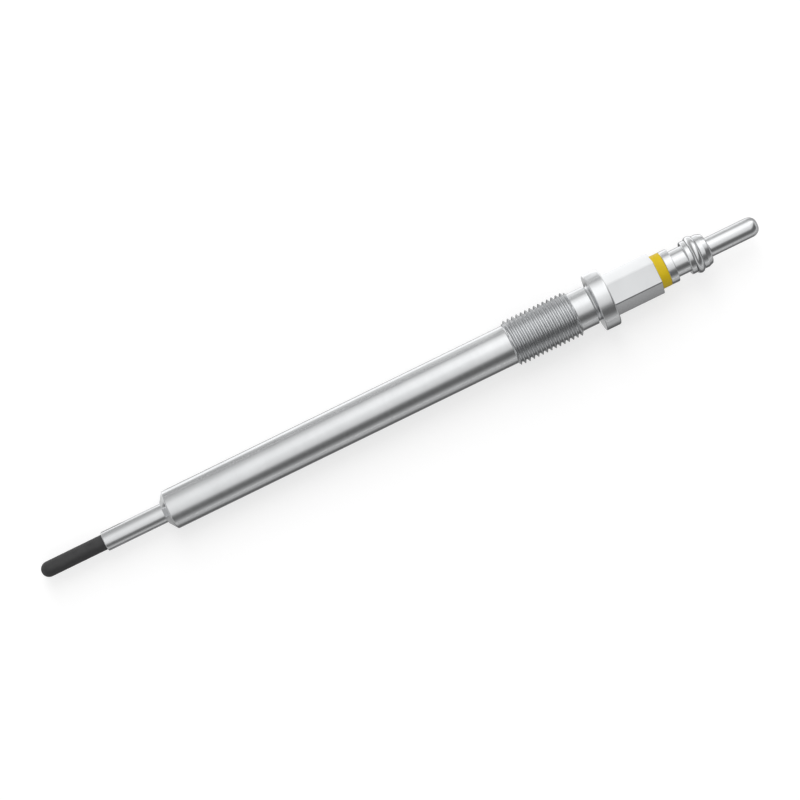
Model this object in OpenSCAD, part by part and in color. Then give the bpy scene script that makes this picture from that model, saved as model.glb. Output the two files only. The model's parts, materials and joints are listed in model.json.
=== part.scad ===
// Diesel glow plug with a ceramic heater, lying on its flange and on the front edge of its body.
// Each piece is turned about one common axis: height 0 on it is the end of the heater's tip,
// and height grows towards the terminal.

/* [Ceramic heater] */
// Diameter of the ceramic heater
heater_d = 3.35; // [3:0.05:3.6]
// Bare length of the heater in front of its support tube
heater_shown = 14.5; // [10:0.5:20]
// Length of the heater that stands out behind its support tube
heater_tail = 6; // [5:0.5:10]

/* [Support tube] */
// Outer diameter of the support tube
tube_d = 4.25; // [4:0.05:4.6]
// Length of the tube in front of the body
tube_shown = 13.7; // [8:0.1:20]
// Length of the tube pressed into the body
tube_inset = 14; // [8:0.5:20]
// Radius of the tube's front edge
tube_round = 0.2; // [0.1:0.05:0.25]

/* [Body] */
// Diameter of the long body
body_d = 8.5; // [8:0.1:9]
// Length of the body from its seat to its thread
body_length = 77.85; // [60:0.05:100]
// Diameter of the conical seat at its small end
seat_d = 4.9; // [4.7:0.1:6]
// Angle between the seat's cone and the axis
seat_angle = 54; // [45:1:70]
// Radius between the seat and the body
seat_round = 0.3; // [0.2:0.1:1.2]
// Radius of the seat's small end
nose_round = 0.3; // [0.2:0.1:0.6]
// Diameter of the main bore, around the leads
bore_d = 5.2; // [4.8:0.1:5.6]

/* [Thread and flange] */
// Outer diameter of the thread
thread_d = 9.95; // [9.5:0.05:11]
// Length of the thread with its run-outs
thread_length = 14.9; // [10:0.1:25]
// Diameter of the neck between thread and flange
neck_d = 8.5; // [7.5:0.1:9]
// Length of the neck with its undercut
neck_length = 4.45; // [2:0.05:8]
// Radius of the undercut beside the flange
undercut_r = 0.4; // [0.2:0.05:0.6]
// Diameter of the flange
flange_d = 12.55; // [11:0.05:14]
// Thickness of the flange
flange_t = 3.35; // [2:0.05:5]
// Radius of the flange's edge towards the thread
flange_front_round = 0.2; // [0.1:0.05:0.5]
// Radius of the flange's edge towards the hexagon
flange_back_round = 0.4; // [0.1:0.05:0.8]

/* [Hexagon] */
// Width of the hexagon across its flats
hex_af = 8; // [7.6:0.1:10]
// Length of the hexagon
hex_length = 10.8; // [8:0.1:16]
// Width of the facets that break the hexagon's corners
hex_break = 0.3; // [0.1:0.05:0.6]
// Diameter of the seal's bore at the hexagon's end
seal_bore_d = 6.1; // [5.9:0.1:6.6]

/* [Insulator] */
// Outer diameter of the insulator ring
insulator_d = 7.35; // [7:0.05:7.8]
// Thickness of the insulator ring
insulator_t = 2.1; // [1.5:0.1:4]
// Length of the insulator's sleeve inside the hexagon
insulator_sleeve = 4; // [2:0.5:6]
// Radius of the insulator ring's edges
insulator_round = 0.12; // [0.05:0.01:0.3]

/* [Terminal] */
// Diameter of the terminal's shoulder
shoulder_d = 7.35; // [6.6:0.05:7.6]
// Length of the shoulder
shoulder_length = 1.8; // [1:0.05:3]
// Diameter of the waist behind the shoulder
waist_d = 5.8; // [5:0.1:6.2]
// Length of the waist
waist_length = 2.9; // [2:0.1:5]
// Diameter of the lip in front of the spring ring
lip_d = 7.3; // [6.6:0.1:7.6]
// Length of the lip
lip_length = 1.2; // [0.8:0.05:2]
// Radius of the lip's edge towards the waist
lip_round = 0.3; // [0.1:0.05:0.5]
// Diameter of the crowned collar at the spring ring
collar_d = 7.35; // [6.8:0.05:7.6]
// Length of the collar
collar_length = 2.15; // [1.8:0.05:3]
// Radius of the crown along the collar
collar_crown = 6; // [4.5:0.5:10]
// Radius of the collar's edge towards the pin
collar_round = 0.4; // [0.2:0.05:0.6]
// Radius of the terminal's other turned edges
turned_round = 0.15; // [0.05:0.05:0.3]
// Diameter of the terminal pin
pin_d = 4.25; // [3.8:0.05:4.6]
// Length of the pin in front of the collar
pin_length = 11.45; // [8:0.05:16]
// Radius at the pin's end
pin_round = 1.5; // [0.5:0.1:1.8]
// Radius at the pin's root
root_round = 0.35; // [0.1:0.05:0.5]

/* [Spring ring] */
// Width of the spring ring's half-round wire
ring_width = 1.56; // [1.2:0.02:1.8]
// Thickness of the wire, from its flat side to its crown
ring_t = 1.35; // [1:0.05:1.5]
// Radius of the wire's crown
ring_crown = 0.95; // [0.95:0.05:1.5]
// Outer diameter of the spring ring
ring_d = 8.25; // [7.8:0.05:8.6]
// Gap between the spring ring's ends
ring_gap = 0.8; // [0.4:0.1:2]
// Play between the spring ring and each side of its groove
ring_play = 0.05; // [0.03:0.01:0.2]

/* [Leads] */
// Diameter of the centre rod
rod_d = 3.2; // [2.8:0.1:3.4]
// Length of the rod held in the terminal
rod_grip = 7.5; // [5:0.5:8]
// Diameter of the spigots that carry the coil
spigot_d = 1.6; // [1.2:0.1:2]
// Length of the spigots
spigot_length = 2.5; // [1.5:0.5:4]
// Wall of the contact cap
cap_wall = 0.4; // [0.3:0.05:0.5]
// Length of the heater inside the contact cap
cap_grip = 3.5; // [2:0.5:4.5]
// Thickness of the coil's wire
coil_wire_d = 0.7; // [0.4:0.1:0.8]
// Distance between contact cap and centre rod, filled by the coil
coil_length = 10; // [9:0.5:20]
// Turns of the coil
coil_turns = 8; // [4:1:9]

/* [Fits] */
// Gap between pieces that are pressed or brazed together
press_gap = 0.01; // [0.01:0.01:0.03]
// Gap around pieces that slide in or are held in place
slide_gap = 0.05; // [0.02:0.01:0.08]

/* [Hidden] */
$fn = 96;

// Steps in which an outline follows an arc
arc_steps = 8;
// How far a cutter passes the face that it opens
cut_past = 1;
// Turn of the seams of the turned faces about the axis, off the lowest line, on which the plug lies
seam_turn = 37.2;
// Corners of the coil wire's section
coil_sides = 8;
// Sections of the coil in one turn
coil_steps = 14;

steel = [0.74, 0.75, 0.76];
bright_steel = [0.76, 0.77, 0.78];
charcoal = [0.16, 0.16, 0.17];
amber = [0.89, 0.73, 0.12];
nickel = [0.7, 0.68, 0.62];
black = [0.07, 0.07, 0.08];

heater_r = heater_d / 2;
tube_r = tube_d / 2;
body_r = body_d / 2;
thread_r = thread_d / 2;
neck_r = neck_d / 2;
flange_r = flange_d / 2;
pin_r = pin_d / 2;
spigot_r = spigot_d / 2;
rod_r = rod_d / 2;
coil_wire_r = coil_wire_d / 2;

// Heights along the axis, from the tip to the terminal
tube_front = heater_shown;
seat_front = tube_front + tube_shown;
seat_corner = seat_front + (body_r - seat_d / 2) / tan(seat_angle);
body_front = seat_corner + seat_round * tan(seat_angle / 2);
thread_front = body_front + body_length;
neck_front = thread_front + thread_length;
flange_front = neck_front + neck_length;
hex_front = flange_front + flange_t;
hex_end = hex_front + hex_length;
terminal_front = hex_end + insulator_t;
waist_front = terminal_front + shoulder_length;
lip_front = waist_front + waist_length;
groove_front = lip_front + lip_length;
collar_front = groove_front + ring_width + 2 * ring_play;
pin_front = collar_front + collar_length;
pin_end = pin_front + pin_length;

// Heights inside the body
tube_end = seat_front + tube_inset;
heater_end = tube_end + heater_tail;
cap_end = heater_end + cap_wall;
rod_front = cap_end + coil_length;
rod_end = terminal_front + rod_grip;
seal_step = hex_end - insulator_sleeve - seal_bore_d / 2 + rod_r - slide_gap;

// Spring ring: its inner radius, the groove's floor below it and the middle of its width
ring_inner_r = ring_d / 2 - ring_t;
groove_r = ring_inner_r - slide_gap;
ring_height = (groove_front + collar_front) / 2;

// Lying pose: the two edges that touch the ground, and the slope and place that they give
front_edge = [body_r - seat_round, body_front];
back_edge = [flange_r - flange_front_round, flange_front + flange_front_round];
edge_rise = back_edge.x - front_edge.x;
edge_run = back_edge.y - front_edge.y;
lie_angle = atan2(edge_rise, edge_run)
    + asin((flange_front_round - seat_round) / norm([edge_rise, edge_run]));
lie_height = back_edge.x * cos(lie_angle) + flange_front_round - back_edge.y * sin(lie_angle);
tip_x = heater_r * cos(lie_angle) - heater_r;
end_x = (pin_end - pin_round) * cos(lie_angle) + (pin_r - pin_round) * sin(lie_angle) + pin_round;

// Points of an arc about a centre
function arc(centre, r, from, to) = [
    for (i = [0 : arc_steps])
        let (a = from + (to - from) * i / arc_steps)
        centre + r * [cos(a), sin(a)]
];

// Lays a piece down with the middle of its length over the origin
module lie() {
    translate([-(tip_x + end_x) / 2, 0, lie_height])
        rotate([0, 90 - lie_angle, 0])
            children();
}

// Turns an outline of radius and height about the axis
module turned(outline) {
    rotate(seam_turn)
        rotate_extrude()
            polygon(outline);
}

// A round rod or bore between two heights
module round_between(r, from, to) {
    translate([0, 0, from])
        cylinder(r = r, h = to - from);
}

// Outside of the body, from the seat to the flange
module shell_outside() {
    nose_flat = seat_d / 2 - nose_round * tan(45 - seat_angle / 2);
    front_run = thread_r - body_r;
    back_run = thread_r - neck_r;
    turned(concat(
        [[0, seat_front]],
        arc([nose_flat, seat_front + nose_round], nose_round, -90, -seat_angle),
        arc(front_edge, seat_round, -seat_angle, 0),
        [
            [body_r, thread_front],
            [thread_r, thread_front + front_run],
            [thread_r, neck_front - back_run],
            [neck_r, neck_front]
        ],
        arc([neck_r, flange_front - undercut_r], undercut_r, -90, -270),
        arc(back_edge, flange_front_round, -90, 0),
        arc([flange_r - flange_back_round, hex_front - flange_back_round], flange_back_round, 0, 90),
        [[0, hex_front]]
    ));
}

// Section of the hexagon, with flats up and down and broken corners
module hexagon() {
    flat_r = hex_af / 2;
    half_flat = flat_r * tan(30) - hex_break / 2 / sin(60);
    polygon([
        for (k = [0 : 5], side = [-1, 1])
            let (out = [cos(60 * k), sin(60 * k)], along = [-sin(60 * k), cos(60 * k)])
            flat_r * out + side * half_flat * along
    ]);
}

// One-piece body with seat, thread, flange and hexagon, bored through in three steps
module metal_shell() {
    color(steel) lie() difference() {
        union() {
            shell_outside();
            translate([0, 0, hex_front - flange_t / 2])
                linear_extrude(hex_length + flange_t / 2)
                    hexagon();
        }
        round_between(tube_r + press_gap, seat_front - cut_past, tube_end + cut_past);
        round_between(bore_d / 2, tube_end, seal_step + cut_past);
        round_between(seal_bore_d / 2, seal_step, hex_end + cut_past);
    }
}

// Sintered ceramic rod with a round tip
module ceramic_heater() {
    color(charcoal) lie() {
        translate([0, 0, heater_r])
            sphere(r = heater_r);
        round_between(heater_r, heater_r, heater_end);
    }
}

// Metal tube brazed round the heater and pressed into the body
module support_tube() {
    color(bright_steel) lie() turned(concat(
        [[heater_r + press_gap, tube_front]],
        arc([tube_r - tube_round, tube_front + tube_round], tube_round, -90, 0),
        [
            [tube_r, tube_end],
            [heater_r + press_gap, tube_end]
        ]
    ));
}

// Cap on the heater's inner end, with a spigot for the coil
module contact_cap() {
    inner_r = heater_r + press_gap;
    outer_r = inner_r + cap_wall;
    face = heater_end + press_gap;
    color(nickel) lie() turned([
        [inner_r, heater_end - cap_grip],
        [outer_r, heater_end - cap_grip],
        [outer_r, cap_end],
        [spigot_r, cap_end],
        [spigot_r, cap_end + spigot_length],
        [0, cap_end + spigot_length],
        [0, face],
        [inner_r, face]
    ]);
}

// One section of the coil's wire, square to the helix at a given share of its length
function coil_section(share) =
    let (
        r = spigot_r + slide_gap + coil_wire_r,
        low = cap_end + coil_wire_r + slide_gap,
        high = rod_front - coil_wire_r - slide_gap,
        turn = 360 * coil_turns * share,
        slope = atan2(high - low, 2 * PI * r * coil_turns),
        out = [cos(turn), sin(turn), 0],
        up = [sin(slope) * sin(turn), -sin(slope) * cos(turn), cos(slope)],
        centre = r * out + [0, 0, low + (high - low) * share]
    )
    [
        for (i = [0 : coil_sides - 1])
            let (a = 360 * i / coil_sides)
            centre + coil_wire_r * (cos(a) * out + sin(a) * up)
    ];

// Springy lead between the contact cap and the centre rod
module lead_coil() {
    last = coil_turns * coil_steps;
    points = [for (k = [0 : last]) each coil_section(k / last)];
    sides = [
        for (k = [0 : last - 1], i = [0 : coil_sides - 1])
            let (j = (i + 1) % coil_sides, a = k * coil_sides, b = a + coil_sides)
            each [[a + i, b + i, b + j], [a + i, b + j, a + j]]
    ];
    first_end = [for (i = [0 : coil_sides - 1]) i];
    last_end = [for (i = [coil_sides - 1 : -1 : 0]) last * coil_sides + i];
    color(nickel) lie()
        polyhedron(points, concat([first_end], sides, [last_end]));
}

// Rod that carries the current from the terminal to the coil
module centre_rod() {
    color(steel) lie() {
        round_between(spigot_r, rod_front - spigot_length, rod_front + cut_past);
        round_between(rod_r, rod_front, rod_end);
    }
}

// Rubber ring that seals the rod in the hexagon's bore
module seal_ring() {
    section = seal_bore_d / 2 - rod_r - 2 * press_gap;
    color(black) lie()
        translate([0, 0, seal_step + press_gap + section / 2])
            rotate_extrude()
                translate([rod_r + press_gap + section / 2, 0])
                    circle(d = section);
}

// Insulating bush: a ring on the hexagon's end with a sleeve in its bore
module insulator_ring() {
    inner_r = rod_r + slide_gap;
    outer_r = insulator_d / 2;
    sleeve_r = seal_bore_d / 2 - slide_gap;
    edge_r = outer_r - insulator_round;
    color(amber) lie() turned(concat(
        [
            [inner_r, hex_end - insulator_sleeve],
            [sleeve_r, hex_end - insulator_sleeve],
            [sleeve_r, hex_end]
        ],
        arc([edge_r, hex_end + insulator_round], insulator_round, -90, 0),
        arc([edge_r, terminal_front - insulator_round], insulator_round, 0, 90),
        [[inner_r, terminal_front]]
    ));
}

// Outline of the terminal: shoulder, waist, lip, groove, crowned collar and pin
module terminal_outside() {
    shoulder_r = shoulder_d / 2;
    waist_r = waist_d / 2;
    lip_r = lip_d / 2;
    crown_centre = [collar_d / 2 - collar_crown, collar_front + turned_round];
    edge_reach = collar_crown - collar_round;
    crown_end = asin((pin_front - collar_round - crown_centre.y) / edge_reach);
    collar_edge = crown_centre + edge_reach * [cos(crown_end), sin(crown_end)];
    turned(concat(
        [[0, terminal_front]],
        arc([shoulder_r - turned_round, terminal_front + turned_round], turned_round, -90, 0),
        arc([shoulder_r - turned_round, waist_front - turned_round], turned_round, 0, 90),
        [
            [waist_r, waist_front],
            [waist_r, lip_front]
        ],
        arc([lip_r - lip_round, lip_front + lip_round], lip_round, -90, 0),
        arc([lip_r - turned_round, groove_front - turned_round], turned_round, 0, 90),
        [
            [groove_r, groove_front],
            [groove_r, collar_front]
        ],
        arc([collar_d / 2 - turned_round, collar_front + turned_round], turned_round, -90, 0),
        arc(crown_centre, collar_crown, 0, crown_end),
        arc(collar_edge, collar_round, crown_end, 90),
        arc([pin_r + root_round, pin_front + root_round], root_round, -90, -180),
        arc([pin_r - pin_round, pin_end - pin_round], pin_round, 0, 90),
        [[0, pin_end]]
    ));
}

// Turned terminal, fixed on the rod's end
module terminal() {
    color(bright_steel) lie() difference() {
        terminal_outside();
        round_between(rod_r + press_gap, terminal_front - cut_past, rod_end + slide_gap);
    }
}

// Split ring of half-round wire, seated in the terminal's groove
module spring_ring() {
    open = 2 * asin(ring_gap / ring_d);
    crown_reach = asin(ring_width / 2 / ring_crown);
    color(bright_steel) lie()
        translate([0, 0, ring_height])
            rotate(open / 2)
                rotate_extrude(angle = 360 - open)
                    polygon(concat(
                        [[ring_inner_r, ring_width / 2], [ring_inner_r, -ring_width / 2]],
                        arc([ring_d / 2 - ring_crown, 0], ring_crown, -crown_reach, crown_reach)
                    ));
}

metal_shell();
ceramic_heater();
support_tube();
contact_cap();
lead_coil();
centre_rod();
seal_ring();
insulator_ring();
terminal();
spring_ring();
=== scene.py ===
"""Looks of the diesel glow plug: turned steel body with a real M10x1 thread, ceramic heater tip,
yellow insulator and turned terminal, lying on a pale floor under soft studio light."""

import json
import math

import bpy
from mathutils import Matrix, Vector


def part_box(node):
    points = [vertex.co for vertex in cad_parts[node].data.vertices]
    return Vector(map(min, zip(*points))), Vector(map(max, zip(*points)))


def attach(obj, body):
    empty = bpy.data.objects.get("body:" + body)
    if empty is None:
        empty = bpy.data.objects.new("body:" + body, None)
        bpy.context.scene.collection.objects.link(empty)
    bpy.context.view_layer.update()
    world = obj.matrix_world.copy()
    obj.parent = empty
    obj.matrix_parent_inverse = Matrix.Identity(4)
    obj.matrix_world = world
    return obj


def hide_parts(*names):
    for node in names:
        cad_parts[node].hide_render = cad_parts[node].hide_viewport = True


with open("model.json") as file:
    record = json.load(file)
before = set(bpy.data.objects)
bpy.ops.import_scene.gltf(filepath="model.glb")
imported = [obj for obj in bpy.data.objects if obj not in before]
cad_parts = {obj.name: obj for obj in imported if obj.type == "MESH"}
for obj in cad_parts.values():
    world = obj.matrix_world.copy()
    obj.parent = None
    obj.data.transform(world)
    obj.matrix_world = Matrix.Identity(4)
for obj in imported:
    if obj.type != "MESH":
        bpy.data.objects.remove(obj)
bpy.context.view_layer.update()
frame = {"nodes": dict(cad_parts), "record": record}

MM = 0.001

# Sizes of the part, in millimetres and degrees. THREAD_RISE is the slope of the thread's ends
HEATER_R, HEATER_SHOWN, HEATER_TAIL = 1.675, 14.5, 6.0
TUBE_R, TUBE_SHOWN, TUBE_INSET, TUBE_ROUND = 2.125, 13.7, 14.0, 0.2
BODY_R, BODY_LENGTH = 4.25, 77.85
SEAT_R, SEAT_ANGLE, SEAT_ROUND, NOSE_ROUND = 2.45, 54.0, 0.3, 0.3
BORE_R, SEAL_BORE_R, SEAL_DEPTH = 2.6, 3.05, 5.5
THREAD_R, THREAD_ROOT_R, THREAD_LENGTH, PITCH = 4.975, 4.37, 14.9, 1.0
THREAD_RISE, RUN_OUT, DRAW_IN = 1.7, 0.5, 0.2
NECK_R, NECK_LENGTH, UNDERCUT_R = 4.25, 4.45, 0.4
FLANGE_R, FLANGE_T, FLANGE_FRONT_ROUND, FLANGE_BACK_ROUND = 6.275, 3.35, 0.2, 0.4
HEX_APOTHEM, HEX_LENGTH, HEX_BREAK = 4.0, 10.8, 0.3
HEX_EDGE, HEX_EDGE_MIDDLE, HEX_HOLD = 0.08, 0.025, 0.05
INSULATOR_R, INSULATOR_T, INSULATOR_SLEEVE, INSULATOR_ROUND = 3.675, 2.1, 4.0, 0.12
SHOULDER_R, SHOULDER_LENGTH = 3.675, 1.8
WAIST_R, WAIST_LENGTH = 2.9, 2.9
LIP_R, LIP_LENGTH, LIP_ROUND = 3.65, 1.2, 0.3
COLLAR_R, COLLAR_LENGTH, COLLAR_PLAIN, COLLAR_SLOPE, COLLAR_ROUND = 3.675, 2.15, 0.9, 19.0, 0.4
TURNED_ROUND, COLLAR_BLEND = 0.15, 0.6
PIN_R, PIN_LENGTH, PIN_ROUND, PIN_NOSE, ROOT_ROUND = 2.125, 11.45, 1.5, 1.9, 0.35
RING_R, RING_WIDTH, RING_T, RING_CROWN, RING_EDGE = 4.125, 1.56, 1.35, 0.95, 0.06
RING_GAP, RING_PLAY = 0.8, 0.05
ROD_R, ROD_GRIP = 1.6, 7.5
PRESS_GAP, SLIDE_GAP = 0.01, 0.05

# Heights along the axis, in millimetres from the end of the tip
tube_front = HEATER_SHOWN
seat_front = tube_front + TUBE_SHOWN
body_front = (seat_front + (BODY_R - SEAT_R) / math.tan(math.radians(SEAT_ANGLE))
              + SEAT_ROUND * math.tan(math.radians(SEAT_ANGLE / 2)))
thread_front = body_front + BODY_LENGTH
neck_front = thread_front + THREAD_LENGTH
flange_front = neck_front + NECK_LENGTH
hex_front = flange_front + FLANGE_T
hex_end = hex_front + HEX_LENGTH
terminal_front = hex_end + INSULATOR_T
waist_front = terminal_front + SHOULDER_LENGTH
lip_front = waist_front + WAIST_LENGTH
groove_front = lip_front + LIP_LENGTH
collar_front = groove_front + RING_WIDTH + 2 * RING_PLAY
pin_front = collar_front + COLLAR_LENGTH
pin_end = pin_front + PIN_LENGTH
tube_end = seat_front + TUBE_INSET
heater_end = tube_end + HEATER_TAIL
ring_inner_r = RING_R - RING_T
groove_r = ring_inner_r - SLIDE_GAP


def plug_frame():
    """Matrix from the plug's own frame, with its axis along Z from the tip, to the row's frame.
    Both are in metres."""
    mounts = {m["name"]: m for m in frame["record"]["mounts"]}
    along = Vector(mounts["terminal_pin"]["axis"]).normalized()
    on_axis = Vector(mounts["terminal_pin"]["pos_m"])
    side = Vector((0, 1, 0))
    down = side.cross(along)
    tip_centre_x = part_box("ceramic_heater")[0].x + HEATER_R * MM
    tip_centre = on_axis + along * ((tip_centre_x - on_axis.x) / along.x)
    tip = tip_centre - along * HEATER_R * MM
    return Matrix((
        (down.x, side.x, along.x, tip.x),
        (down.y, side.y, along.y, tip.y),
        (down.z, side.z, along.z, tip.z),
        (0, 0, 0, 1),
    ))


PLUG = plug_frame()

# Outlines: lists of (radius, height) points in millimetres


def arc(centre, radius, start, end, steps=8):
    """Points of an arc about a centre, its angles in degrees from the outward direction."""
    turns = [math.radians(start + (end - start) * i / steps) for i in range(steps + 1)]
    return [(centre[0] + radius * math.cos(a), centre[1] + radius * math.sin(a)) for a in turns]


def held(outline, hold=0.04, longest=6.0):
    """The outline with points close to the ends of its straight runs, which keep the runs'
    shading straight, and no run longer than about the longest."""
    points = [outline[0]]
    for (r0, z0), (r1, z1) in zip(outline, outline[1:]):
        length = math.hypot(r1 - r0, z1 - z0)
        if length > 6 * hold:
            count = max(1, round(length / longest))
            inner = [hold / length] + [i / count for i in range(1, count)] + [1 - hold / length]
            points += [(r0 + (r1 - r0) * t, z0 + (z1 - z0) * t) for t in inner]
        points.append((r1, z1))
    return points


# Meshes

TURNED_UV, SHARP_ANGLE, ON_AXIS = "turned", 32, 1e-6
# Angles beside each corner of the hexagon, as shares of the angle to the edge of its broken corner
CORNER_SHARES = (-1.3, -1.08, -1.0, -0.92, -0.5, 0.5, 0.92, 1.0, 1.08, 1.3)


def even_angles(count=144):
    return [2 * math.pi * i / count for i in range(count)]


def hexagon_angles():
    """Even angles, with more of them around the hexagon's broken corners."""
    edge = math.atan2(HEX_BREAK / 2, corner_distance(0.0))
    close = [edge * share for share in CORNER_SHARES]
    corners = [math.radians(30 + 60 * k) for k in range(6)]
    return sorted(even_angles() + [c + d for c in corners for d in close])


def at_angle(value, angle):
    return value(angle) if callable(value) else value


def around(radius, angle, height):
    """Point in metres at an angle about the axis."""
    return radius * math.cos(angle) * MM, radius * math.sin(angle) * MM, height * MM


def lathe(name, rows, angles, closed=False, climb=None):
    """Object turned about the axis. A row is a radius and a height, each a number or a function of
    the angle. climb is the first and last row of a thread and its rows in a turn: the end of such
    a row meets the start of the row one turn later."""
    count = len(angles)
    verts, rings, lengths = [], [], []
    travel, before = 0.0, None
    for radius, height in rows:
        places = [(at_angle(radius, a), at_angle(height, a)) for a in angles]
        mean = [sum(values) / count for values in zip(*places)]
        travel += math.dist(mean, before) if before else 0.0
        before = mean
        lengths.append(travel)
        if mean[0] < ON_AXIS:
            rings.append([len(verts)] * count)
            verts.append((0.0, 0.0, mean[1] * MM))
            continue
        rings.append(list(range(len(verts), len(verts) + count)))
        verts += [around(r, a, z) for (r, z), a in zip(places, angles)]
    turns = [a / (2 * math.pi) for a in angles] + [1.0]
    faces, uvs = [], []

    def add(corners):
        """Face of (row, column, v) corners, without repeated points. The column after the last one
        is the seam."""
        kept = {}
        for row, column, v in corners:
            kept.setdefault(rings[row][column % count], (turns[column], v))
        faces.append(list(kept))
        uvs.extend(kept.values())

    first, last, step = climb or (len(rows), len(rows), 0)
    pairs = [(k, k + 1) for k in range(len(rings) - 1)] + ([(len(rings) - 1, 0)] if closed else [])
    for low, high in pairs:
        low_v = lengths[low]
        high_v = lengths[high] if high else low_v + 1.0
        climbs = first <= high and low <= last
        for i in range(count - 1 if climbs else count):
            add([(low, i, low_v), (low, i + 1, low_v),
                 (high, i + 1, high_v), (high, i, high_v)])
    if climb:
        end, seam = count - 1, count
        for k in range(first, last - step):
            add([(k, end, lengths[k]), (k + step, seam, lengths[k]),
                 (k + step + 1, seam, lengths[k + 1]), (k + 1, end, lengths[k + 1])])
        add([(first - 1, end, lengths[first - 1]), (first - 1, seam, lengths[first - 1])]
            + [(k, seam, lengths[k]) for k in range(first, first + step + 1)]
            + [(first, end, lengths[first])])
        add([(last - step, end, lengths[last - step]), (last, seam, lengths[last]),
             (last + 1, seam, lengths[last + 1]), (last + 1, end, lengths[last + 1])]
            + [(k, end, lengths[k]) for k in range(last, last - step, -1)])
    return placed(name, verts, faces, uvs)


def placed(name, verts, faces, uvs):
    """Object of a mesh that was made in the plug's own frame."""
    mesh = bpy.data.meshes.new(name)
    mesh.from_pydata(verts, [], faces)
    layer = mesh.uv_layers.new(name=TURNED_UV)
    layer.data.foreach_set("uv", [x for uv in uvs for x in uv])
    mesh.transform(PLUG)
    mesh.validate()
    mesh.shade_smooth()
    mesh.set_sharp_from_angle(angle=math.radians(SHARP_ANGLE))
    piece = bpy.data.objects.new(name, mesh)
    bpy.context.scene.collection.objects.link(piece)
    return piece


def corner_distance(inset):
    """Distance of the facets that break the hexagon's corners."""
    return (HEX_APOTHEM - inset) / math.cos(math.pi / 6) - HEX_BREAK / 2 * math.tan(math.pi / 6)


def hexagon(inset=0.0):
    """Radius of the hexagon's outline at an angle."""
    def radius(angle):
        off_flat = (angle + math.pi / 6) % (math.pi / 3) - math.pi / 6
        off_corner = math.pi / 6 - abs(off_flat)
        flat_r = (HEX_APOTHEM - inset) / math.cos(off_flat)
        return min(flat_r, corner_distance(inset) / math.cos(off_corner))

    return radius


def smooth_step(x):
    x = min(1.0, max(0.0, x))
    return x * x * (3 - 2 * x)


# One turn of the thread: shares of the pitch, and of the depth above the root
THREAD_TURN = [(0.0625, 1.0), (0.179, 2 / 3), (0.295, 1 / 3), (0.4115, 0.0),
               (0.5885, 0.0), (0.705, 1 / 3), (0.821, 2 / 3), (0.9375, 1.0)]
# Shares of the pitch: where the turns start, how far before the thread the first row may start, and
# how far before its end the last one
THREAD_PHASE, PASS_FRONT, PASS_BACK = -0.41, 0.8, 0.2


def thread_radius(height, share):
    """Radius on the thread's flank, which stays inside the blank with its sloped ends and runs out
    there."""
    from_front, from_back = height - thread_front, neck_front - height
    blank = min(THREAD_R, BODY_R + THREAD_RISE * from_front, NECK_R + THREAD_RISE * from_back)
    depth = smooth_step(from_front / RUN_OUT) * smooth_step(from_back / RUN_OUT)
    root = blank - (blank - min(blank, THREAD_ROOT_R)) * depth
    return min(blank, root + (THREAD_R - root) * share)


def drawn_in(height):
    """The height, with what would pass an end of the thread drawn in close before that end."""
    middle, half = (thread_front + neck_front) / 2, THREAD_LENGTH / 2
    past = abs(height - middle) - (half - DRAW_IN)
    if past <= 0:
        return height
    return middle + math.copysign(half - DRAW_IN / (1 + past / DRAW_IN), height - middle)


def thread_rows():
    """Rows of the right-hand thread, each of which climbs by one pitch in a turn."""
    turns = THREAD_LENGTH / PITCH
    places = [(turn + share_of_pitch + THREAD_PHASE, share)
              for turn in range(-1, math.ceil(turns) + 1) for share_of_pitch, share in THREAD_TURN]
    rows = []
    for place, share in places:
        if not -PASS_FRONT < place < turns - PASS_BACK:
            continue

        def height(angle, start=thread_front + place * PITCH):
            return drawn_in(start + PITCH * angle / (2 * math.pi))

        def radius(angle, height=height, share=share):
            return thread_radius(height(angle), share)

        rows.append((radius, height))
    return rows


def shell_piece():
    nose_flat = SEAT_R - NOSE_ROUND * math.tan(math.radians(45 - SEAT_ANGLE / 2))
    front = [(TUBE_R + PRESS_GAP, seat_front)]
    front += arc((nose_flat, seat_front + NOSE_ROUND), NOSE_ROUND, -90, -SEAT_ANGLE, 4)
    front += arc((BODY_R - SEAT_ROUND, body_front), SEAT_ROUND, -SEAT_ANGLE, 0)
    front.append((BODY_R, thread_front))
    back = [(NECK_R, neck_front)]
    back += arc((NECK_R, flange_front - UNDERCUT_R), UNDERCUT_R, -90, -270, 12)
    back += arc((FLANGE_R - FLANGE_FRONT_ROUND, flange_front + FLANGE_FRONT_ROUND),
                FLANGE_FRONT_ROUND, -90, 0)
    back += arc((FLANGE_R - FLANGE_BACK_ROUND, hex_front - FLANGE_BACK_ROUND),
                FLANGE_BACK_ROUND, 0, 90)
    hexagon_rows = [
        (hexagon(), hex_front),
        (hexagon(), hex_front + HEX_HOLD),
        (hexagon(), hex_end - 1.5 * HEX_EDGE),
        (hexagon(), hex_end - HEX_EDGE),
        (hexagon(HEX_EDGE_MIDDLE), hex_end - HEX_EDGE_MIDDLE),
        (hexagon(HEX_EDGE), hex_end),
    ]
    inside = [
        (SEAL_BORE_R, hex_end),
        (SEAL_BORE_R, hex_end - SEAL_DEPTH),
        (BORE_R, hex_end - SEAL_DEPTH),
        (BORE_R, tube_end),
        (TUBE_R + PRESS_GAP, tube_end),
    ]
    front_rows, climbing = held(front), thread_rows()
    rows = front_rows + climbing + held(back) + hexagon_rows + inside
    climb = (len(front_rows), len(front_rows) + len(climbing) - 1, len(THREAD_TURN))
    return lathe("turned_shell", rows, hexagon_angles(), closed=True, climb=climb)


def heater_piece():
    rows = arc((0, HEATER_R), HEATER_R, -90, 0, 24)
    rows[0] = (0, 0)
    rows += [(HEATER_R, heater_end), (0, heater_end)]
    return lathe("ceramic_rod", held(rows), even_angles())


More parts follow.
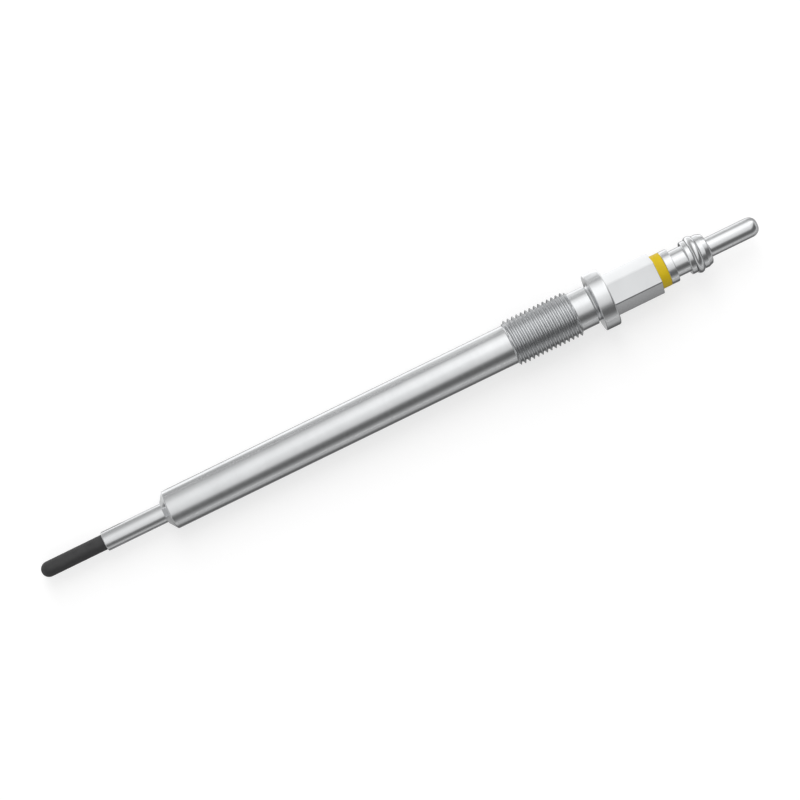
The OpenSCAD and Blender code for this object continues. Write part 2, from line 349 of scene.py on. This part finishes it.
def tube_piece():
    rows = [(HEATER_R + PRESS_GAP, tube_end), (HEATER_R + PRESS_GAP, tube_front)]
    rows += arc((TUBE_R - TUBE_ROUND, tube_front + TUBE_ROUND), TUBE_ROUND, -90, 0)
    rows += [(TUBE_R, tube_end)]
    return lathe("bright_tube", held(rows), even_angles(), closed=True)


def insulator_piece():
    inner_r, sleeve_r = ROD_R + SLIDE_GAP, SEAL_BORE_R - SLIDE_GAP
    edge_r, sleeve_front = INSULATOR_R - INSULATOR_ROUND, hex_end - INSULATOR_SLEEVE
    rows = [(inner_r, sleeve_front), (sleeve_r, sleeve_front), (sleeve_r, hex_end)]
    rows += arc((edge_r, hex_end + INSULATOR_ROUND), INSULATOR_ROUND, -90, 0)
    rows += arc((edge_r, terminal_front - INSULATOR_ROUND), INSULATOR_ROUND, 0, 90)
    rows += [(inner_r, terminal_front)]
    return lathe("yellow_bush", held(rows), even_angles(), closed=True)


def terminal_piece():
    edge, bore_r, bore_end = TURNED_ROUND, ROD_R + PRESS_GAP, terminal_front + ROD_GRIP + SLIDE_GAP
    rows = [(0, bore_end), (bore_r, bore_end), (bore_r, terminal_front)]
    rows += arc((SHOULDER_R - edge, terminal_front + edge), edge, -90, 0)
    rows += arc((SHOULDER_R - edge, waist_front - edge), edge, 0, 90)
    rows += [(WAIST_R, waist_front), (WAIST_R, lip_front)]
    rows += arc((LIP_R - LIP_ROUND, lip_front + LIP_ROUND), LIP_ROUND, -90, 0)
    rows += arc((LIP_R - edge, groove_front - edge), edge, 0, 90)
    rows += [(groove_r, groove_front), (groove_r, collar_front)]
    rows += arc((COLLAR_R - edge, collar_front + edge), edge, -90, 0)
    blend = arc((COLLAR_R - COLLAR_BLEND, collar_front + COLLAR_PLAIN),
                COLLAR_BLEND, 0, COLLAR_SLOPE, 5)
    slope, run = math.radians(COLLAR_SLOPE), pin_front - COLLAR_ROUND - blend[-1][1]
    corner_r = blend[-1][0] - (COLLAR_ROUND + run * math.sin(slope)) / math.cos(slope)
    rows += blend + arc((corner_r, pin_front - COLLAR_ROUND), COLLAR_ROUND, COLLAR_SLOPE, 90)
    rows += arc((PIN_R + ROOT_ROUND, pin_front + ROOT_ROUND), ROOT_ROUND, -90, -180)
    rows += [(r, pin_end - PIN_NOSE * (1 - z / PIN_ROUND))
             for r, z in arc((PIN_R - PIN_ROUND, 0), PIN_ROUND, 0, 90, 20)]
    rows += [(0, pin_end)]
    return lathe("turned_terminal", held(rows), even_angles())


def ring_piece(steps=150):
    """Split ring of half-round wire, its gap underneath."""
    height = (groove_front + collar_front) / 2
    half_gap = math.asin(RING_GAP / 2 / RING_R)
    reach = math.degrees(math.asin(RING_WIDTH / 2 / RING_CROWN))
    low, high = height - RING_WIDTH / 2, height + RING_WIDTH / 2
    section = arc((ring_inner_r + RING_EDGE, high - RING_EDGE), RING_EDGE, 90, 180, 3)
    section += arc((ring_inner_r + RING_EDGE, low + RING_EDGE), RING_EDGE, 180, 270, 3)
    section += arc((RING_R - RING_CROWN, height), RING_CROWN, -reach, reach, 20)
    sides = len(section)
    span = 2 * math.pi - 2 * half_gap
    verts, faces, uvs = [], [], []
    for k in range(steps + 1):
        turn = half_gap + span * k / steps
        verts += [around(r, turn, z) for r, z in section]
    for k in range(steps):
        start, end = k / steps, (k + 1) / steps
        for i in range(sides):
            j = (i + 1) % sides
            faces.append([k * sides + i, (k + 1) * sides + i, (k + 1) * sides + j, k * sides + j])
            uvs += [(start, i), (end, i), (end, i + 1), (start, i + 1)]
    last = steps * sides
    faces += [list(range(sides)), [last + i for i in reversed(range(sides))]]
    uvs += [(0.0, 0.0)] * (2 * sides)
    return placed("wire_ring", verts, faces, uvs)


# Materials

# Turning marks in a turn and in a millimetre along the outline; clouds and grain in a metre
FINE_MARKS, BROAD_MARKS = (3.0, 14.0, 1.0), (2.0, 1.3, 1.0)
STEEL_CLOUD, CERAMIC_CLOUD, MOULDED_CLOUD = (160.0,) * 3, (700.0,) * 3, (500.0,) * 3
CERAMIC_GRAIN, MOULDED_GRAIN, DRAWN_GRAIN = (9000.0,) * 3, (6000.0,) * 3, (300.0, 4000.0, 4000.0)
# Depths of the grain in metres, the range of a noise that is used, and how far broad marks change
# the roughness
CERAMIC_DEPTH, DRAWN_DEPTH = 6e-6, 2e-6
NOISE_LOW, NOISE_HIGH = 0.3, 0.7
BROAD_CHANGE = 0.02
DULL_AND_SHADE_EDGE = 0.3 * MM


class Graph:
    """Nodes of a material or of the world. A value is a number, a colour or a socket."""

    def __init__(self, tree):
        self.nodes, self.links = tree.nodes, tree.links

    def fill(self, node, inputs):
        """Sets or links the inputs of a node."""
        for place, value in inputs.items():
            if isinstance(value, bpy.types.NodeSocket):
                self.links.new(value, node.inputs[place])
            else:
                node.inputs[place].default_value = value

    def made(self, kind, inputs, **settings):
        """Node with its settings and inputs."""
        node = self.nodes.new(kind)
        for name, setting in settings.items():
            setattr(node, name, setting)
        self.fill(node, inputs)
        return node

    def object_place(self):
        return self.nodes.new("ShaderNodeTexCoord").outputs["Object"]

    def axes(self, vector):
        return self.made("ShaderNodeSeparateXYZ", {"Vector": vector}).outputs

    def calculated(self, operation, *values):
        """Result of a math node."""
        node = self.made("ShaderNodeMath", dict(enumerate(values)), operation=operation)
        return node.outputs["Value"]

    def times(self, value, other):
        return self.calculated("MULTIPLY", value, other)

    def plus(self, value, other):
        return self.calculated("ADD", value, other)

    def with_added(self, value, share, amount):
        """The value, with an amount added where the share is 1."""
        return self.calculated("MULTIPLY_ADD", share, amount, value)

    def with_loss(self, value, share, loss):
        """The value, less a share of it where the share is 1."""
        return self.times(value, self.calculated("SUBTRACT", 1.0, self.times(share, loss)))

    def eased(self, value, start, end):
        """0 before start, 1 after end, and an eased rise between them."""
        limits = {"Value": value, "From Min": start, "From Max": end}
        node = self.made("ShaderNodeMapRange", limits, interpolation_type="SMOOTHSTEP")
        return node.outputs["Result"]

    def within(self, value, start, end, soft):
        """1 between start and end, eased to 0 inside them."""
        rise, fall = self.eased(value, start, start + soft), self.eased(value, end, end - soft)
        return self.times(rise, fall)

    def blended(self, factor, value, other):
        """The value, and where the factor is 1 the other number."""
        inputs = {"Factor": factor, "A": value, "B": other}
        return self.made("ShaderNodeMix", inputs).outputs["Result"]

    def noise(self, vector, scale, detail=3.0, roughness=0.5):
        """Noise along a vector that is stretched by three scales."""
        stretch = self.made("ShaderNodeMapping", {"Vector": vector, "Scale": scale})
        inputs = {"Vector": stretch.outputs["Vector"], "Scale": 1.0, "Detail": detail,
                  "Roughness": roughness}
        return self.made("ShaderNodeTexNoise", inputs).outputs["Fac"]

    def spread(self, value, low, high):
        """The middle range of a noise mapped to between two numbers."""
        limits = {"Value": value, "From Min": NOISE_LOW, "From Max": NOISE_HIGH,
                  "To Min": low, "To Max": high}
        return self.made("ShaderNodeMapRange", limits).outputs["Result"]

    def shades(self, value, dark, light):
        """Colour between two shades."""
        inputs = {"A": (*dark, 1), "B": (*light, 1), "Factor": self.spread(value, 0.0, 1.0)}
        return self.made("ShaderNodeMix", inputs, data_type="RGBA").outputs["Result"]

    def darkened(self, colour, share, kept):
        """The colour, and where the share is 1 only what is kept of it."""
        inputs = {"Factor": share, "A": colour, "B": (kept, kept, kept, 1)}
        node = self.made("ShaderNodeMix", inputs, data_type="RGBA", blend_type="MULTIPLY")
        return node.outputs["Result"]

    def bump(self, value, depth):
        inputs = {"Height": value, "Strength": 1.0, "Distance": depth}
        return self.made("ShaderNodeBump", inputs).outputs["Normal"]

    def ramp(self, value, stops):
        """Levels at shares of a value between 0 and 1."""
        node = self.made("ShaderNodeFloatCurve", {"Value": value})
        curve = node.mapping.curves[0]
        node.mapping.use_clip = False
        for share, level in stops[1:-1]:
            curve.points.new(share, level)
        curve.points[0].location, curve.points[-1].location = stops[0], stops[-1]
        node.mapping.update()
        return node.outputs["Value"]


def new_material(name):
    material = bpy.data.materials.new(name)
    material.use_nodes = True
    graph = Graph(material.node_tree)
    return material, graph, graph.nodes["Principled BSDF"]


def turned_steel(name, dark, light, rough, mark_depth, anisotropic, dull_and_shade=None):
    """Steel off the lathe: fine marks around the axis and slightly uneven gloss. dull_and_shade is
    a stretch along X, the roughness that it adds and the share of the colour that it keeps there;
    that darker colour is painted shade."""
    material, graph, shader = new_material(name)
    uv = graph.made("ShaderNodeUVMap", {}, uv_map=TURNED_UV).outputs["UV"]
    place = graph.object_place()
    fine = graph.noise(uv, FINE_MARKS, detail=4.0, roughness=0.65)
    broad = graph.noise(uv, BROAD_MARKS, detail=2.0)
    cloud = graph.noise(place, STEEL_CLOUD, detail=4.0, roughness=0.6)
    colour = graph.shades(cloud, dark, light)
    uneven = graph.plus(graph.spread(fine, *rough),
                        graph.spread(broad, -BROAD_CHANGE, BROAD_CHANGE))
    if dull_and_shade:
        start, end, added, kept = dull_and_shade
        stretch = graph.within(graph.axes(place)["X"], start, end, DULL_AND_SHADE_EDGE)
        uneven = graph.with_added(uneven, stretch, added)
        # painted shade: the colour is darkened over the stretch, standing in for the shade in the
        # thread's grooves
        colour = graph.darkened(colour, stretch, kept)
    tangent = graph.made("ShaderNodeTangent", {}, direction_type="UV_MAP", uv_map=TURNED_UV)
    graph.fill(shader, {
        "Base Color": colour,
        "Roughness": uneven,
        "Normal": graph.bump(fine, mark_depth),
        "Tangent": tangent.outputs["Tangent"],
        "Metallic": 1.0,
        "Anisotropic": anisotropic,
    })
    return material


def plain_metal(name, dark, light, rough):
    """Drawn or plated metal, for the leads inside."""
    material, graph, shader = new_material(name)
    grain = graph.noise(graph.object_place(), DRAWN_GRAIN)
    graph.fill(shader, {
        "Base Color": graph.shades(grain, dark, light),
        "Roughness": graph.spread(grain, *rough),
        "Normal": graph.bump(grain, DRAWN_DEPTH),
        "Metallic": 1.0,
    })
    return material


def ground_ceramic(name, dark, light, rough):
    """Sintered charcoal ceramic with a fine ground grain."""
    material, graph, shader = new_material(name)
    place = graph.object_place()
    cloud = graph.noise(place, CERAMIC_CLOUD, detail=4.0, roughness=0.6)
    grain = graph.noise(place, CERAMIC_GRAIN, detail=2.0)
    graph.fill(shader, {
        "Base Color": graph.shades(cloud, dark, light),
        "Roughness": graph.spread(cloud, *rough),
        "Normal": graph.bump(grain, CERAMIC_DEPTH),
    })
    return material


def moulded(name, dark, light, rough, grain_depth, specular=0.5):
    """Moulded plastic or rubber with a fine skin."""
    material, graph, shader = new_material(name)
    place = graph.object_place()
    cloud = graph.noise(place, MOULDED_CLOUD)
    grain = graph.noise(place, MOULDED_GRAIN, detail=2.0)
    graph.fill(shader, {
        "Base Color": graph.shades(cloud, dark, light),
        "Roughness": graph.spread(cloud, *rough),
        "Normal": graph.bump(grain, grain_depth),
        "Specular IOR Level": specular,
    })
    return material


thread_ends = [(PLUG @ Vector((0, 0, height * MM))).x for height in (thread_front, neck_front)]
# Two shades and a range of roughness each; for steel also the depth of the marks in metres and the
# anisotropy, for moulded parts the depth of the grain and the specular level
MATERIALS = {
    "shell_steel": turned_steel(
        "shell_steel", (0.72, 0.73, 0.74), (0.77, 0.78, 0.79), (0.17, 0.24), 1.2e-6, 0.4,
        # over the thread: rougher, and its colour kept at 0.9 as painted shade of the grooves
        dull_and_shade=(*thread_ends, 0.055, 0.9)),
    "tube_steel": turned_steel(
        "tube_steel", (0.73, 0.74, 0.75), (0.78, 0.79, 0.80), (0.17, 0.24), 1.0e-6, 0.4),
    "terminal_steel": turned_steel(
        "terminal_steel", (0.73, 0.74, 0.75), (0.77, 0.78, 0.79), (0.14, 0.20), 0.8e-6, 0.3),
    "ring_steel": turned_steel(
        "ring_steel", (0.73, 0.74, 0.75), (0.77, 0.78, 0.79), (0.14, 0.20), 0.6e-6, 0.2),
    "heater_ceramic": ground_ceramic(
        "heater_ceramic", (0.026, 0.026, 0.027), (0.040, 0.040, 0.041), (0.42, 0.55)),
    "insulator_yellow": moulded(
        "insulator_yellow", (0.63, 0.45, 0.008), (0.69, 0.50, 0.010), (0.38, 0.48), 4e-6, 0.25),
    "seal_rubber": moulded(
        "seal_rubber", (0.025, 0.025, 0.025), (0.035, 0.035, 0.035), (0.6, 0.7), 6e-6),
    "lead_metal": plain_metal(
        "lead_metal", (0.66, 0.64, 0.58), (0.72, 0.70, 0.64), (0.28, 0.36)),
    "rod_steel": plain_metal(
        "rod_steel", (0.56, 0.56, 0.57), (0.62, 0.62, 0.63), (0.30, 0.40)),
}

# The pieces, each in place of its node, and the nodes inside that keep their own shape

PIECES = {
    "metal_shell": shell_piece,
    "ceramic_heater": heater_piece,
    "support_tube": tube_piece,
    "insulator_ring": insulator_piece,
    "terminal": terminal_piece,
    "spring_ring": ring_piece,
}
slots = {s["node"]: s["material_slot"] for s in frame["record"]["subparts"]}
for node, make in PIECES.items():
    piece = make()
    piece.data.materials.append(MATERIALS[slots[node]])
    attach(piece, "root")
    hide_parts(node)
for node, solid in frame["nodes"].items():
    if node not in PIECES:
        solid.data.materials.clear()
        solid.data.materials.append(MATERIALS[slots[node]])

# Floor, light and camera. Stretches are in metres along the row's axes, each with the width of its
# soft edges last where it has them

FLOOR_COLOUR, FLOOR_ROUGHNESS, FLOOR_SPECULAR, FLOOR_GLOW = (0.52, 0.52, 0.52, 1), 0.9, 0.1, 0.58

# Painted reflection: a glowing sheet on the floor that only the metal shows, grey where it paints
# the
# # plug's shadow and bright on the lit side; its place, and its light at distances from the plug in
# # millimetres, towards +Y
PAINTED_REFLECTION_FRONT, PAINTED_REFLECTION_BACK, PAINTED_REFLECTION_HALF_WIDTH, PAINTED_REFLECTION_LIFT = -0.10, 0.25, 0.25, 0.0001
PAINTED_REFLECTION_LEVELS = [
    (-250, 0.50), (-60, 0.50), (-30, 0.50), (-18, 0.36), (-13, 0.15), (-9, 0.12), (-7, 0.16),
    (-5, 0.42), (-2, 0.36), (1, 0.22), (4, 0.16), (6, 0.3), (8.5, 1.15), (12.5, 1.32), (16, 0.9),
    (20, 0.86), (30, 0.96), (40, 0.95), (60, 0.62), (250, 0.54)]
# Share that it loses on its far side towards the tip, and beside the thread
FAR_SIDE, TIP_END, TIP_LOSS = (0.014, 0.02), (0.06, -0.06), 0.47
THREAD_STRETCH, THREAD_SIDE, THREAD_LOSS = (0.0255, 0.0415, 0.002), (0.003, 0.006), 0.36
# Painted highlights: brighter patches of the painted reflection beside hexagon, flange and seat,
# which
# # light up their reflections: stretches along X and Y, and the light they add
PAINTED_HIGHLIGHT_PATCHES = [
    ((0.0475, 0.064, 0.002), (0.011, 0.027, 0.003), 0.31),
    ((0.0405, 0.0465, 0.0015), (0.0035, 0.0085, 0.002), 0.4),
    ((0.0405, 0.0465, 0.0015), (-0.0085, -0.0035, 0.002), 0.15),
    ((-0.0640, -0.0515, 0.0015), (0.0015, 0.0075, 0.002), 0.5),
]
# Even light beyond the pin's end
BEYOND_PIN, PIN_LEVEL = (0.082, 0.09), 0.45

# Dome, softbox and the softbox's brighter part: levels at shares of the half turn over the plug,
# from the horizon at -Y to the one at +Y
DOME = [
    (0.0, 0.52), (0.045, 0.455), (0.09, 0.33), (0.14, 0.205), (0.20, 0.18), (0.26, 0.175),
    (0.5, 0.16), (0.7, 0.25), (0.83, 0.42), (0.91, 0.44), (1.0, 0.5)]
SOFTBOX = [
    (0.0, 0.0), (0.25, 0.0), (0.30, 0.11), (0.34, 0.37), (0.39, 0.64), (0.44, 0.70), (0.5, 0.76),
    (0.56, 0.76), (0.63, 0.72), (0.7, 0.60), (0.77, 0.36), (0.83, 0.06), (0.91, 0.0), (1.0, 0.0)]
PEAK = [
    (0.0, 0.0), (0.49, 0.0), (0.53, 0.07), (0.57, 0.2), (0.63, 0.37), (0.7, 0.45), (0.76, 0.55),
    (0.83, 0.57), (0.91, 0.2), (0.96, 0.0), (1.0, 0.0)]
# How the softbox slants, and parts of the direction's X over which the lights come and go
BOX_SLANT, PEAK_RISE, BOX_START = 0.65, (-0.24, 0.10), (-0.62, -0.30)
LIFT_RISE, LIFT = (-0.06, 0.24), 0.05
TIP_HORIZON, TIP_HORIZON_LEVEL = (-0.72, -0.9), 0.62
PIN_HORIZON, PIN_HORIZON_LEVEL = (0.88, 0.99), 0.6

LAMP_SIZE = (0.8, 0.25)

# Camera: roll in degrees, aim across and along the plug and distance in millimetres, lens
CAMERA_ROLL, AIM_ACROSS, AIM_ALONG, CAMERA_DISTANCE = 26.0, -0.404, 82.1, 454.9
LENS, SENSOR, NEAREST = 99.1, 36, 0.01


def make_flat(name, xs, ys, height):
    """Flat rectangle with a new material: the object, the material's graph and its shader."""
    mesh = bpy.data.meshes.new(name)
    mesh.from_pydata([(xs[0], ys[0], height), (xs[1], ys[0], height), (xs[1], ys[1], height),
                      (xs[0], ys[1], height)], [], [(0, 1, 2, 3)])
    flat = bpy.data.objects.new(name, mesh)
    bpy.context.scene.collection.objects.link(flat)
    material, graph, shader = new_material(name)
    mesh.materials.append(material)
    return flat, graph, shader


def make_floor(half=30.0):
    floor, graph, shader = make_flat("floor", (-half, half), (-half, half), 0)
    path = graph.nodes.new("ShaderNodeLightPath").outputs
    seen = graph.calculated("MAXIMUM", path["Is Camera Ray"], path["Is Glossy Ray"])
    seen = graph.calculated("MAXIMUM", seen, path["Is Transmission Ray"])
    graph.fill(shader, {
        "Base Color": FLOOR_COLOUR,
        "Roughness": FLOOR_ROUGHNESS,
        "Specular IOR Level": FLOOR_SPECULAR,
        "Emission Color": (1, 1, 1, 1),
        "Emission Strength": graph.times(seen, FLOOR_GLOW),
    })


def make_painted_reflection():
    """Painted reflection: a glowing graded sheet on the floor that only the metal's reflections
    show, white towards +Y and grey where it paints the plug's shadow."""
    painted_reflection, graph, shader = make_flat("painted_reflection", (PAINTED_REFLECTION_FRONT, PAINTED_REFLECTION_BACK),
                                    (-PAINTED_REFLECTION_HALF_WIDTH, PAINTED_REFLECTION_HALF_WIDTH), PAINTED_REFLECTION_LIFT)
    painted_reflection.visible_camera = painted_reflection.visible_diffuse = False
    painted_reflection.visible_transmission = painted_reflection.visible_shadow = False
    graph.nodes.remove(shader)
    axes = graph.axes(graph.object_place())
    along, across = axes["X"], axes["Y"]
    limits = {"Value": across, "From Min": -PAINTED_REFLECTION_HALF_WIDTH, "From Max": PAINTED_REFLECTION_HALF_WIDTH}
    share = graph.made("ShaderNodeMapRange", limits).outputs["Result"]
    glow = graph.ramp(share, [(0.5 + y * MM / PAINTED_REFLECTION_HALF_WIDTH / 2, level)
                              for y, level in PAINTED_REFLECTION_LEVELS])
    # painted shade in the reflection: darker on the far side towards the tip and beside the thread
    far_tip = graph.times(graph.eased(across, *FAR_SIDE), graph.eased(along, *TIP_END))
    glow = graph.with_loss(glow, far_tip, TIP_LOSS)
    at_thread = graph.times(graph.within(along, *THREAD_STRETCH),
                            graph.eased(across, *THREAD_SIDE))
    glow = graph.with_loss(glow, at_thread, THREAD_LOSS)
    # painted highlights in the reflections beside hexagon, flange and seat
    for stretch_along, stretch_across, added in PAINTED_HIGHLIGHT_PATCHES:
        patch = graph.times(graph.within(along, *stretch_along),
                            graph.within(across, *stretch_across))
        glow = graph.with_added(glow, patch, added)
    glow = graph.blended(graph.eased(along, *BEYOND_PIN), glow, PIN_LEVEL)
    light = graph.made("ShaderNodeEmission", {"Strength": glow})
    graph.fill(graph.nodes["Material Output"], {"Surface": light.outputs["Emission"]})


def make_world():
    """Soft studio dome: a wide overhead softbox towards +Y and +X, a dark gap on the -Y side and a
    pale horizon."""
    world = bpy.data.worlds.new("studio")
    bpy.context.scene.world = world
    world.use_nodes = True
    graph = Graph(world.node_tree)
    axes = graph.axes(graph.nodes.new("ShaderNodeTexCoord").outputs["Generated"])
    along, up = axes["X"], axes["Z"]
    across = graph.times(axes["Y"], -1.0)
    over = graph.calculated("DIVIDE", graph.calculated("ARCTAN2", up, across), math.pi)
    total = graph.ramp(over, DOME)
    slanted = graph.with_added(across, along, BOX_SLANT)
    over = graph.calculated("DIVIDE", graph.calculated("ARCTAN2", up, slanted), math.pi)
    peak = graph.times(graph.ramp(over, PEAK), graph.eased(along, *PEAK_RISE))
    box = graph.plus(graph.ramp(over, SOFTBOX), peak)
    total = graph.plus(total, graph.times(box, graph.eased(along, *BOX_START)))
    total = graph.with_added(total, graph.eased(along, *LIFT_RISE), LIFT)
    total = graph.blended(graph.eased(along, *TIP_HORIZON), total, TIP_HORIZON_LEVEL)
    total = graph.blended(graph.eased(along, *PIN_HORIZON), total, PIN_HORIZON_LEVEL)
    graph.fill(graph.nodes["Background"], {"Color": (1, 1, 1, 1), "Strength": total})


def make_lamp(name, place, energy):
    """Softbox for the colours and the shadow; the dome and the painted reflection alone show in the
    metal.
    """
    lamp = bpy.data.lights.new(name, "AREA")
    lamp.shape = "RECTANGLE"
    lamp.size, lamp.size_y = LAMP_SIZE
    lamp.energy = energy
    box = bpy.data.objects.new(name, lamp)
    box.location = place
    box.rotation_mode = "QUATERNION"
    box.rotation_quaternion = (-box.location).to_track_quat("-Z", "X")
    box.visible_glossy = False
    bpy.context.scene.collection.objects.link(box)


def make_camera():
    """Camera square above the plug, rolled so that the plug rises to the right as in the
    photograph."""
    along, side = PLUG.col[2].xyz, PLUG.col[1].xyz
    up_from_plug = along.cross(side)
    roll = math.radians(CAMERA_ROLL)
    right = along * math.cos(roll) - side * math.sin(roll)
    up = along * math.sin(roll) + side * math.cos(roll)
    aim = PLUG @ Vector((0, AIM_ACROSS * MM, AIM_ALONG * MM))
    place = aim + up_from_plug * CAMERA_DISTANCE * MM
    camera = bpy.data.objects.new("camera", bpy.data.cameras.new("camera"))
    camera.data.lens = LENS
    camera.data.sensor_width = SENSOR
    camera.matrix_world = Matrix((
        (right.x, up.x, up_from_plug.x, place.x),
        (right.y, up.y, up_from_plug.y, place.y),
        (right.z, up.z, up_from_plug.z, place.z),
        (0, 0, 0, 1),
    ))
    camera.data.clip_start = NEAREST
    bpy.context.scene.collection.objects.link(camera)
    bpy.context.scene.camera = camera


make_floor()
make_painted_reflection()
make_world()
make_lamp("key", (0.05, 0.47, 0.37), 1.6)
make_lamp("fill", (0.05, -0.47, 0.37), 0.6)
make_camera()
bpy.context.scene.view_settings.view_transform = "Standard"

bpy.context.view_layer.update()
